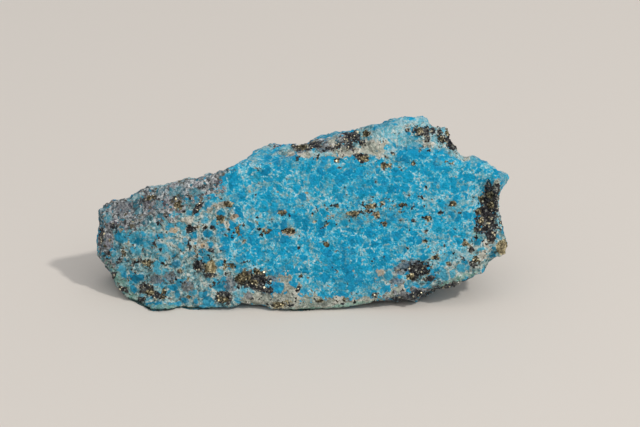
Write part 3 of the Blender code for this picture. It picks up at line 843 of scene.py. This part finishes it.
def tone(red, green, blue):
    """A colour given as it looks on a screen, from 0 to 255, as the renderer's linear values."""
    return tuple(
        part / 12.92 if part <= 0.04045 else ((part + 0.055) / 1.055) ** 2.4
        for part in (red / 255, green / 255, blue / 255)
    ) + (1.0,)


def mix(stops):
    """A row of colours for a ramp, from a table of places and screen colours."""
    return [(place, tone(*colour)) for place, colour in stops.items()]


BLUE_MIX = mix({
    0.00: (0, 138, 184), 0.28: (0, 156, 202), 0.50: (6, 168, 210), 0.72: (98, 195, 219),
    1.00: (206, 232, 236),
})
MATRIX_MIX = mix({
    0.00: (52, 60, 60), 0.15: (84, 104, 106), 0.35: (98, 150, 160), 0.55: (128, 178, 186),
    0.75: (170, 198, 194), 1.00: (226, 230, 220),
})
SKIN_MIX = mix({
    0.00: (46, 47, 48), 0.25: (92, 95, 97), 0.50: (128, 133, 136), 0.75: (162, 169, 170),
    1.00: (214, 217, 217),
})
CALCITE_MIX = mix({
    0.00: (118, 124, 116), 0.35: (166, 172, 160), 0.65: (208, 206, 192), 1.00: (240, 238, 228),
})
# The palest stops of the ore and brass rows are painted glints: what takes them looks lit by the
# lamp.
ORE_AND_GLINT_MIX = mix({
    0.00: (28, 27, 31), 0.40: (54, 54, 60), 0.65: (92, 94, 94), 0.85: (146, 148, 138),
    1.00: (206, 206, 190),
})
BRASS_AND_GLINT_MIX = mix({
    0.00: (44, 40, 34), 0.30: (96, 90, 71), 0.60: (152, 142, 112), 0.85: (206, 192, 152),
    1.00: (250, 240, 206),
})
print("the middle blue, linear:", [round(part, 3) for part in BLUE_MIX[2][1]])

# %% [markdown]
# All layers read the same few things: the grains of three sizes, four noises, and the patches.
# They are made once and kept in one table, the look, under plain names. The noise `regional`
# changes over several grains, `cloud` from grain to grain, and `curd` and `dust` within a grain.

# %% What every layer reads
NOISES = {"regional": (4.5, 2), "cloud": (1.0, 4), "curd": (0.38, 2), "dust": (0.24, 2)}


def new_material(name):
    """A material with nodes, and the wiring to fill it."""
    material = bpy.data.materials.new(name)
    material.use_nodes = True
    return material, Wiring(material.node_tree)


def attribute_in_material(wiring, name):
    return wiring.node("ShaderNodeAttribute", {}, attribute_name=name).outputs["Fac"]


def noise_around_zero(wiring, place, name):
    """One of the four noises. Each has a size in mm and a number of finer levels."""
    return wiring.around_zero(wiring.noise(place, *NOISES[name]))


rock_material, paint = new_material("lapis rock")
rock_place = paint.node("ShaderNodeTexCoord", {}).outputs["Object"]
rock_place = paint.vector("SCALE", rock_place, 1 / MM)
look = {"above ground": paint.split(rock_place)[2]}
for kind in GRAINS:
    look |= {f"{kind} {name}": value for name, value in grains(paint, rock_place, kind).items()}
for number in range(3):
    look[f"chance {number}"] = paint.around_zero(look[f"crumb chance {number}"])
for name in NOISES:
    look[name] = noise_around_zero(paint, rock_place, name)
for kind in (*FRONT, "hidden"):
    look[kind] = attribute_in_material(paint, kind)
print("what every layer reads:", sorted(look))

# %% [markdown]
# A layer mostly asks where something is. A cut answers that: it turns a field into a mask that is
# 0 before a window and 1 past it, and cloud frays its rim. Crumbs are cut so that each one is
# taken whole, because a broken face changes colour from crumb to crumb and not in a smooth fade.

# %% Masks
CRUMB_SHAKE = 0.55                 # how much a crumb's own chance moves a rim
CRUMB_RIM = (0.47, 0.53)


def cut(table):
    """Adds masks to the look. A row has a field, how much cloud frays it, and the window."""
    for name, (field, fray, window) in table.items():
        frayed = paint.add(look[field], (look["cloud"], fray)) if fray else look[field]
        look[name] = paint.step(frayed, window)


def region(name, size, window):
    """Adds a mask to the look that is made by a noise of its own."""
    look[name] = paint.step(paint.noise(rock_place, size), window)


def crumbs(strength, chance, fray):
    """Takes whole crumbs, the more of them the stronger the patch is there."""
    frayed = paint.add(strength, (look["cloud"], fray), (look[chance], CRUMB_SHAKE))
    return paint.step(frayed, CRUMB_RIM)


def level(recipe):
    return paint.mixed(look, recipe)


def say(layer):
    print(f"with the {layer}:", len(rock_material.node_tree.nodes), "nodes")


# %% [markdown]
# The blue mineral comes first. Some of its grains are whole and calm, and the others have split
# into splinters. Between them runs a pale, sugary vein: where a place is less deep in its grain
# than the vein is wide, it takes the pale end of the row of blues. Here and there it is dirty.

# %% Blue grains and pale veins
VEIN_RIM = (-0.09, 0.09)
VEIN_WIDTH = {
    "base": 0.095, "cloud": 0.50, "curd": 0.35, "regional": 0.20, "solid blue": -0.09,
    "sugar": 0.10,
}
CALM_BLUE = {
    "base": 0.09, "number": 0.43, "cloud": 0.5, "regional": 0.5, "dust": 0.6, "chance 0": 0.10,
}
SUGARY_BLUE = {
    "base": 0.71, "chance 0": 0.24, "dust": 0.9, "curd": 0.5, "regional": 0.6, "sugar": 0.06,
}
DIRTY = tone(120, 152, 150)
DIRT_SHARE = {"base": 0.42, "inside": -0.36}

cut({"whole": ("grain chance 2", 0, (0.55, 0.61))})
region("dirt", 1.7, (0.50, 0.62))
in_grain = paint.times(look["grain depth"], GRAINS["grain"])
in_splinter = paint.add((look["splinter depth"], GRAINS["splinter"]), look["whole"])
look["room"] = paint.math("MINIMUM", in_grain, in_splinter)
look["inside"] = paint.step(paint.math("SUBTRACT", look["room"], level(VEIN_WIDTH)), VEIN_RIM)
look["number"] = paint.between(look["whole"], look["splinter chance 0"], look["grain chance 0"])
paleness = paint.between(look["inside"], level(SUGARY_BLUE), level(CALM_BLUE))
dirty = paint.times(look["dirt"], level(DIRT_SHARE))
colour = paint.blend(dirty, paint.ramp(paleness, BLUE_MIX), DIRTY)
say("blue")

# %% [markdown]
# Matrix is the pale and dirty rock between the blue minerals. Whole round grains of blue are left
# in it: some by chance, and the large ones where a patch of solid blue names them, a little
# deeper in colour. Around a lone grain is a pale halo, where its rim has begun to turn into matrix.

# %% Lone grains
DEEP_GRAIN = tone(8, 128, 162)
LIGHT_GRAIN = tone(104, 188, 206)
NAMED_DEEPER = -0.35
LONE_TINT = 0.6

cut({
    "in matrix": ("matrix", 1.2, (0.3, 0.7)),
    "kept": ("grain chance 1", 0, (0.38, 0.42)),
    "rounded": ("grain reach", 0.5, (0.60, 0.40)),
    "around": ("grain reach", 0, (0.72, 0.50)),
    "named": ("solid blue", 1.6, (0.46, 0.60)),
})
look["left"] = paint.most(paint.times(look["kept"], look["rounded"]), look["named"])
look["halo"] = paint.times(look["kept"], look["around"])
look["not named"] = paint.rest(look["named"])
deeper = paint.times(look["solid blue"], NAMED_DEEPER)
brightness = paint.add(look["grain chance 0"], look["dust"], deeper)
lone = paint.blend(brightness, DEEP_GRAIN, LIGHT_GRAIN)
colour = paint.blend(paint.times(look["in matrix"], LONE_TINT), colour, lone)
say("lone grains")

# %% Matrix
MATRIX_LEVEL = {
    "base": 0.63, "chance 1": 0.6, "dust": 0.8, "curd": 1.6, "cloud": 1.8, "sugar": 0.16,
    "halo": 0.14,
}
MATRIX_COVER = 0.94
KHAKI = tone(150, 150, 128)
KHAKI_SHARE = {"base": 0.4, "halo": -0.3}

region("khaki", 0.8, (0.52, 0.62))
khaki = paint.times(look["khaki"], level(KHAKI_SHARE))
ground = paint.blend(khaki, paint.ramp(level(MATRIX_LEVEL), MATRIX_MIX), KHAKI)
bare = paint.times(look["in matrix"], paint.rest(look["left"]), MATRIX_COVER)
colour = paint.blend(bare, colour, ground)
say("matrix")

# %% [markdown]
# Calcite is the white mineral that the blue grew in. Its grains are larger and calmer, duller in
# the seams between them, and in some regions a little green. Low down it is painted duller, a
# painted shade near the ground. On the unseen sides, noise adds more of it.

# %% Calcite
CALCITE_FRAY = 1.8
CALCITE_UNSEEN = 0.7
CALCITE_LEVEL = {
    "base": 0.62, "painted shade low down": -0.14, "large grain": 0.4, "small grain": 0.3, "seam": -0.25,
    "dust": 0.8, "cloud": 1.2,
}
GREEN_STAIN = tone(128, 180, 162)
GREEN_SHARE = 0.12

region("wild calcite", 5.0, (0.50, 0.72))
# Calcite is painted duller from 5 mm down to 1 mm above the ground: a painted shade near the floor.
cut({
    "painted shade low down": ("above ground", 0, (5.0, 1.0)),
    "seam": ("room", 0, (0.06, 0.0)),
    "green region": ("regional", 0, (0.02, 0.1)),
})
look["large grain"] = paint.around_zero(look["grain chance 2"])
look["small grain"] = paint.around_zero(look["splinter chance 1"])
unseen = paint.times(look["hidden"], look["wild calcite"], CALCITE_UNSEEN)
share = crumbs(paint.add(look["calcite"], unseen), "chance 2", CALCITE_FRAY)
green = paint.times(look["green region"], GREEN_SHARE)
white = paint.blend(green, paint.ramp(level(CALCITE_LEVEL), CALCITE_MIX), GREEN_STAIN)
colour = paint.blend(paint.times(share, look["not named"]), colour, white)
say("calcite")

# %% [markdown]
# The weathered skin is a crust of fine grey grains, speckled like salt and pepper. Some regions
# of it lean to lilac and some to teal, and single crumbs are teal or bronze.

# %% Grey weathered skin
SKIN_FRAY = 1.8
SKIN_LEVEL = {
    "base": 0.55, "chance 2": 1.0, "dust": 1.8, "curd": 1.3, "cloud": 1.2, "sugar": 0.25,
}
LILAC = tone(128, 122, 134)
TEAL_GRAIN = tone(66, 132, 150)
BRONZE_CRUMB = tone(96, 90, 71)
TINT_SIZE = 2.0
TINTS = [                          # what picks it, where it begins and is full, colour, how much
    ("tint", (0.52, 0.62), LILAC, 0.45),
    ("tint", (0.46, 0.36), TEAL_GRAIN, 0.45),
    ("chance 0", (0.36, 0.42), TEAL_GRAIN, 1.0),
    ("chance 0", (-0.42, -0.46), BRONZE_CRUMB, 0.8),
]

region("wild skin", 9.0, (0.50, 0.56))
strength = paint.add(look["skin"], (look["hidden"], look["wild skin"]))
look["in skin"] = paint.times(crumbs(strength, "chance 1", SKIN_FRAY), look["not named"])
look["tint"] = paint.noise(rock_place, TINT_SIZE)
speckle = paint.ramp(level(SKIN_LEVEL), SKIN_MIX)
for field, window, tint, share in TINTS:
    speckle = paint.blend(paint.times(paint.step(look[field], window), share), speckle, tint)
colour = paint.blend(look["in skin"], colour, speckle)
say("skin")

# %% [markdown]
# Stains are thin films, so what lies under them shows through. Each is shaded with pale tiny
# crystals, like sugar. Frost is mostly sugar, and the smooth teal zones have less of it. The grey
# sulphide is laid on in the same way, but its pale shade is grey too.

# %% Stains and grey sulphide
SUGAR = tone(214, 226, 222)
STAIN_LEVEL = {"base": 0.55, "chance 1": 0.6, "curd": 1.6, "dust": 0.8}
STAIN_WINDOW = (0.3, 0.9)
STAINS = {                         # colour, pale shade and its share, thickness, chance, fray
    "frost": (tone(120, 196, 212), SUGAR, 0.75, 0.75, "chance 0", 1.6),
    "teal": (tone(70, 160, 180), SUGAR, 0.4, 0.62, "chance 0", 1.6),
    "green": (GREEN_STAIN, SUGAR, 0.4, 0.7, "chance 0", 1.6),
    "tan": (tone(196, 160, 116), SUGAR, 0.4, 0.8, "chance 0", 1.6),
    "grey": (tone(86, 86, 96), tone(150, 152, 154), 1.0, 0.8, "chance 1", 1.8),
}

pale = paint.step(level(STAIN_LEVEL), STAIN_WINDOW)
for kind, (stain, pale_shade, pale_share, thickness, chance, fray) in STAINS.items():
    shaded = paint.blend(paint.times(pale, pale_share), stain, pale_shade)
    film = paint.times(crumbs(look[kind], chance, fray), thickness)
    colour = paint.blend(film, colour, shaded)
say("stains")

# %% [markdown]
# Pepper is what is left where one tiny ore crystal sits alone or has fallen out. It shows on pale
# and rough ground, and hardly at all on the lone grains.

# %% Pepper
PEPPER = tone(40, 42, 42)
PEPPER_WINDOW = (0.15, 0.18)
PEPPER_LEVEL = {"base": 0.0, "dust": 1.0, "rough": 0.04, "left": -0.2}
PEPPER_IN_MATRIX = 0.9
PEPPER_SHARE = 0.85

in_matrix = paint.times(look["in matrix"], PEPPER_IN_MATRIX)
look["rough"] = paint.most(look["specks"], in_matrix, look["in skin"])
pepper = paint.step(level(PEPPER_LEVEL), PEPPER_WINDOW)
colour = paint.blend(paint.times(pepper, look["rough"], PEPPER_SHARE), colour, PEPPER)
say("pepper")

# %% [markdown]
# Dark sulphide and brassy pyrite come crumb by crumb, and loose crumbs of both lie where the
# patches ask for specks. A nugget is one larger lump, so it keeps a clean rim, and its colour
# follows the splinters. The palest crumbs and splinters of all three are painted glints.

# %% Dark ore, brassy pyrite and nuggets
ORE_FRAY = {"dark": 1.8, "pyrite": 1.4}
PYRITE_STRENGTH = 0.8
DARK_SPECKS = 0.22
PYRITE_SPECKS = 0.15
ORES = {                           # its recipe and its row of colours
    "in dark": ({"base": 0.46, "chance 0": 0.9, "dust": 1.4}, ORE_AND_GLINT_MIX),
    "in pyrite": ({"base": 0.42, "chance 0": 0.9, "dust": 1.4}, BRASS_AND_GLINT_MIX),
    "in nugget": ({"base": 0.42, "splinter chance 0": 0.50, "curd": 1.6}, BRASS_AND_GLINT_MIX),
}

dark = paint.most(look["dark"], paint.times(look["specks"], DARK_SPECKS))
pyrite = paint.times(look["pyrite"], PYRITE_STRENGTH)
pyrite = paint.most(pyrite, paint.times(look["specks"], PYRITE_SPECKS))
look["in dark"] = crumbs(dark, "chance 2", ORE_FRAY["dark"])
look["in pyrite"] = crumbs(pyrite, "chance 1", ORE_FRAY["pyrite"])
cut({"in nugget": ("nugget", 0.8, (0.45, 0.52))})
for ore, (recipe, row) in ORES.items():
    colour = paint.blend(look[ore], colour, paint.ramp(level(recipe), row))
say("ore")

# %% [markdown]
# The foot is painted darker and a little green. A painted contact shade lies where the stone meets
# the ground, tinted like the green rock there, and a faint painted shade is full below 2 mm and
# fades out by 9 mm.

# %% Painted shade at the foot
# the colour of the painted shade at the foot, a dark green
PAINTED_FOOT_SHADE = tone(66, 90, 84)

cut({
    "painted contact shade": ("above ground", 0.8, (0.6, 0.1)),
    "painted low shade": ("above ground", 0, (9.0, 2.0)),
})
for mask, share in (("painted contact shade", 0.7), ("painted low shade", 0.10)):
    colour = paint.blend(paint.times(look[mask], share), colour, PAINTED_FOOT_SHADE)
say("dirt")

# %% [markdown]
# Colour alone looks like paint. What makes it stone is how each facet takes the light: some crumbs
# are glassy, ore is half metal, and a bump turns every crumb's facet its own way. The same fields
# drive both, so a glint sits on the crumb that the eye sees.

# %% Gloss, metal and bump
METAL = {"in dark": 0.3, "in pyrite": 0.6, "in nugget": 0.7}
ROUGHNESS = {"base": 0.75, "glassy": -0.40, "metal": -0.35}
FACETS = {
    "grain facet": 0.25, "splinter facet": 0.4, "crumb facet": 1.0, "dust": 0.25, "cloud": 0.25,
}
BUMP_STRENGTH = 0.9

cut({"glassy": ("chance 1", 0, (0.32, 0.42))})
look["metal"] = paint.most(*[paint.times(look[ore], share) for ore, share in METAL.items()])
facets = paint.add(*[(look[name], share) for name, share in FACETS.items()])
bump = {"Height": facets, "Strength": BUMP_STRENGTH, "Distance": MM}
paint.to_shader({
    "Base Color": colour,
    "Roughness": level(ROUGHNESS),
    "Metallic": look["metal"],
    "Normal": paint.node("ShaderNodeBump", bump).outputs[0],
    "Specular IOR Level": 0.25,
})
rock.data.materials.clear()
rock.data.materials.append(rock_material)
say("gloss")

# %% [markdown]
# ## Ore crystals
#
# Pyrite grows as cubes, and galena does so too. Where the ore lies, Geometry Nodes scatter small
# cubes on the rock, turned at random and sunk a little. They could be modelled one by one, but
# thousands of them are needed, and all that matters is their size and mix. Each cube keeps a
# random number, its tarnish, so that black, bronze and bright ones lie side by side. The
# brightest are painted glints, pale as if a face caught the lamp.

# %% Where crystals grow, and how large
CRYSTALS = {
    "Spacing": 0.11 * MM,
    "Most per area": 50.0 / MM**2,
    "Smallest": 0.08 * MM,
    "Largest": 0.25 * MM,
    "Sink": 0.04 * MM,
}
CRYSTAL_RIM = (0.44, 0.70)
SEEDS = {"points": 7, "turn": 7, "size": 8, "tarnish": 9}


def crystal_density(wiring, place):
    """1 in the ore, 0 off it and on the nuggets."""
    cloud = noise_around_zero(wiring, place, "cloud")
    dark = wiring.add(attribute_in_geometry(wiring, "dark"), (cloud, ORE_FRAY["dark"]))
    pyrite = wiring.times(attribute_in_geometry(wiring, "pyrite"), PYRITE_STRENGTH)
    pyrite = wiring.add(pyrite, (cloud, ORE_FRAY["pyrite"]))
    nugget = wiring.times(attribute_in_geometry(wiring, "nugget"), -1.0)
    return wiring.step(wiring.add(wiring.most(dark, pyrite), nugget), CRYSTAL_RIM)


print("crystals, mm:", CRYSTALS["Smallest"] / MM, "to", CRYSTALS["Largest"] / MM)

# %% [markdown]
# The scatter keeps its points a set distance apart, so that cubes crowd without piling up. The
# tarnish is stored on the copies before they are made real, so that a whole cube has one number.

# %% The crystals' tree


def random_number(wiring, low, high, seed):
    inputs = {2: low, 3: high, "Seed": seed}
    return wiring.node("FunctionNodeRandomValue", inputs, data_type="FLOAT").outputs[1]


def random_turn(wiring, seed):
    inputs = {"Min": (-math.pi,) * 3, "Max": (math.pi,) * 3, "Seed": seed}
    added = wiring.node("FunctionNodeRandomValue", inputs, data_type="FLOAT_VECTOR")
    return added.outputs[0]


def sunk_points(wiring, given):
    """Points on the ore, a little under the surface."""
    inputs = {
        "Mesh": given["Geometry"],
        "Distance Min": given["Spacing"],
        "Density Max": given["Most per area"],
        "Density Factor": crystal_density(wiring, place_in_geometry(wiring)),
        "Seed": SEEDS["points"],
    }
    points = wiring.node("GeometryNodeDistributePointsOnFaces", inputs, distribute_method="POISSON")
    down = wiring.vector("SCALE", points.outputs["Normal"], wiring.times(given["Sink"], -1.0))
    inputs = {"Geometry": points.outputs["Points"], "Offset": down}
    return wiring.node("GeometryNodeSetPosition", inputs).outputs[0]


def crystal_tree(crystal, material):
    tree, wiring = new_tree("ore crystals", CRYSTALS)
    given = wiring.node("NodeGroupInput", {}).outputs
    inputs = {
        "Points": sunk_points(wiring, given),
        "Instance": wiring.node("GeometryNodeObjectInfo", {"Object": crystal}).outputs["Geometry"],
        "Rotation": random_turn(wiring, SEEDS["turn"]),
        "Scale": random_number(wiring, given["Smallest"], given["Largest"], SEEDS["size"]),
    }
    placed = wiring.node("GeometryNodeInstanceOnPoints", inputs)
    tarnish = random_number(wiring, 0.0, 1.0, SEEDS["tarnish"])
    inputs = {"Geometry": placed.outputs[0], "Name": "tarnish", "Value": tarnish}
    store_node = "GeometryNodeStoreNamedAttribute"
    marked = wiring.node(store_node, inputs, data_type="FLOAT", domain="INSTANCE")
    real = wiring.node("GeometryNodeRealizeInstances", {"Geometry": marked.outputs[0]})
    inputs = {"Geometry": real.outputs[0], "Material": material}
    painted = wiring.node("GeometryNodeSetMaterial", inputs)
    wiring.node("NodeGroupOutput", {"Geometry": painted.outputs[0]})
    return tree


# %% [markdown]
# Most crystals are dark and dull, and the palest are painted glints, as if a face caught the
# lamp. In the brassy patches they take the brass colours and more metal. The few with the highest
# tarnish take the pale end of the brass row everywhere, as painted glints.

# %% The crystals' material
BRASSY_PATCH = (0.35, 0.65)
# the few crystals painted as pale brassy glints
GLINTING_FEW = (0.92, 0.96)
TARNISH_CURVE = 1.5                # above 1, dark crystals outnumber bright ones
CRYSTAL_METAL = {"base": 0.25, "brassy": 0.35}
CRYSTAL_ROUGHNESS = 0.38


def crystal_material():
    material, wiring = new_material("ore crystals")
    tarnish = attribute_in_material(wiring, "tarnish")
    brassy = wiring.step(attribute_in_material(wiring, "pyrite"), BRASSY_PATCH)
    shade = wiring.math("POWER", tarnish, TARNISH_CURVE)
    bright = wiring.most(brassy, wiring.step(tarnish, GLINTING_FEW))
    colours = wiring.ramp(shade, ORE_AND_GLINT_MIX), wiring.ramp(shade, BRASS_AND_GLINT_MIX)
    wiring.to_shader({
        "Base Color": wiring.blend(bright, *colours),
        "Metallic": wiring.mixed({"brassy": brassy}, CRYSTAL_METAL),
        "Roughness": CRYSTAL_ROUGHNESS,
    })
    return material


# %% [markdown]
# The scatter copies one cube of size 1. It starts from a copy of the rock, whose attributes say
# where the ore lies, and leaves only the crystals. The one cube is then taken away.

# %% Grow the ore crystals
shape = bmesh.new()
bmesh.ops.create_cube(shape, size=1.0)
crystal = add_shape("crystal shape", shape)
crystals = add_piece("ore_crystals", rock.data.copy())
add_nodes(crystals, crystal_tree(crystal, crystal_material()), CRYSTALS)
settle(crystals)
bpy.data.objects.remove(crystal)
keep_above_ground(crystals.data)
print("ore crystals:", count_triangles(crystals.data), "triangles")

# %% [markdown]
# ## The floor's material
#
# A plain pale sheet, warm like unbleached cotton. It has no pattern of its own, so that nothing
# draws the eye from the rock.

# %% Floor material
FLOOR_FINISH = {
    "Base Color": tone(220, 213, 205),
    "Roughness": 0.9,
    "Specular IOR Level": 0.1,
}

floor_material, floor_wiring = new_material("pale floor")
floor_wiring.to_shader(FLOOR_FINISH)
floor.data.materials.append(floor_material)
print("floor finish:", FLOOR_FINISH)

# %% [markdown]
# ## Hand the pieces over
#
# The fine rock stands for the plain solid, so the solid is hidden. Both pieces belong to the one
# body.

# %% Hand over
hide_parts(NODE)
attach(rock, "root")
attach(crystals, "root")
